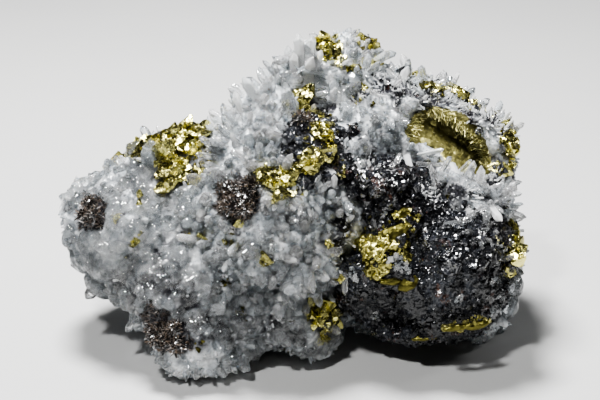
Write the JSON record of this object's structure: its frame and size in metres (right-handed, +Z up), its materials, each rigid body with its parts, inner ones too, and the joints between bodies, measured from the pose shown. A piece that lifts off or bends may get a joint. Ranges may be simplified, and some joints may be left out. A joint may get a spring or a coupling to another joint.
{
  "type": "chalcopyrite mineral specimen",
  "caption": "Cabinet mineral specimen: brassy chalcopyrite crystals and dark sphalerite on a block of white quartz crystals, which rests on its broken underside.",
  "frame": {"origin": "middle of the bounding box, on the surface that the specimen stands on", "axes": "+X to the right along the specimen's length as seen from the display side, +Y away from the display side, +Z up"},
  "size_m": [0.1166, 0.0773, 0.0744],
  "materials": {
    "quartz": "translucent white to clear quartz crystals with glassy faces",
    "sphalerite": "black with a sub-metallic glitter on its cleavage steps",
    "brown_sphalerite": "dark brown, fine grained and glittering",
    "chalcopyrite": "brassy yellow metallic crystal faces, darker where tarnished"
  },
  "bodies": {
    "root": {"quartz_matrix": "quartz", "sphalerite_mass": "sphalerite", "chalcopyrite_flank": "chalcopyrite", "chalcopyrite_flank_low": "chalcopyrite", "chalcopyrite_flank_rim": "chalcopyrite", "chalcopyrite_shelf": "chalcopyrite", "chalcopyrite_heart": "chalcopyrite", "chalcopyrite_heart_low": "chalcopyrite", "chalcopyrite_centre": "chalcopyrite", "chalcopyrite_peak_left": "chalcopyrite", "chalcopyrite_peak_right": "chalcopyrite", "chalcopyrite_crest": "chalcopyrite", "chalcopyrite_crest_end": "chalcopyrite", "chalcopyrite_basin": "chalcopyrite", "chalcopyrite_rim": "chalcopyrite", "chalcopyrite_edge": "chalcopyrite", "chalcopyrite_vein": "chalcopyrite", "chalcopyrite_lower": "chalcopyrite", "chalcopyrite_lower_spot": "chalcopyrite", "chalcopyrite_middle_spot": "chalcopyrite", "chalcopyrite_foot_vein": "chalcopyrite", "chalcopyrite_left_spot": "chalcopyrite", "chalcopyrite_left_speck": "chalcopyrite", "chalcopyrite_back": "chalcopyrite", "chalcopyrite_back_low": "chalcopyrite", "chalcopyrite_back_top": "chalcopyrite", "sphalerite_centre": "brown_sphalerite", "sphalerite_left": "brown_sphalerite", "sphalerite_foot": "brown_sphalerite", "sphalerite_heart": "brown_sphalerite", "sphalerite_back": "brown_sphalerite"}
  },
  "joints": []
}
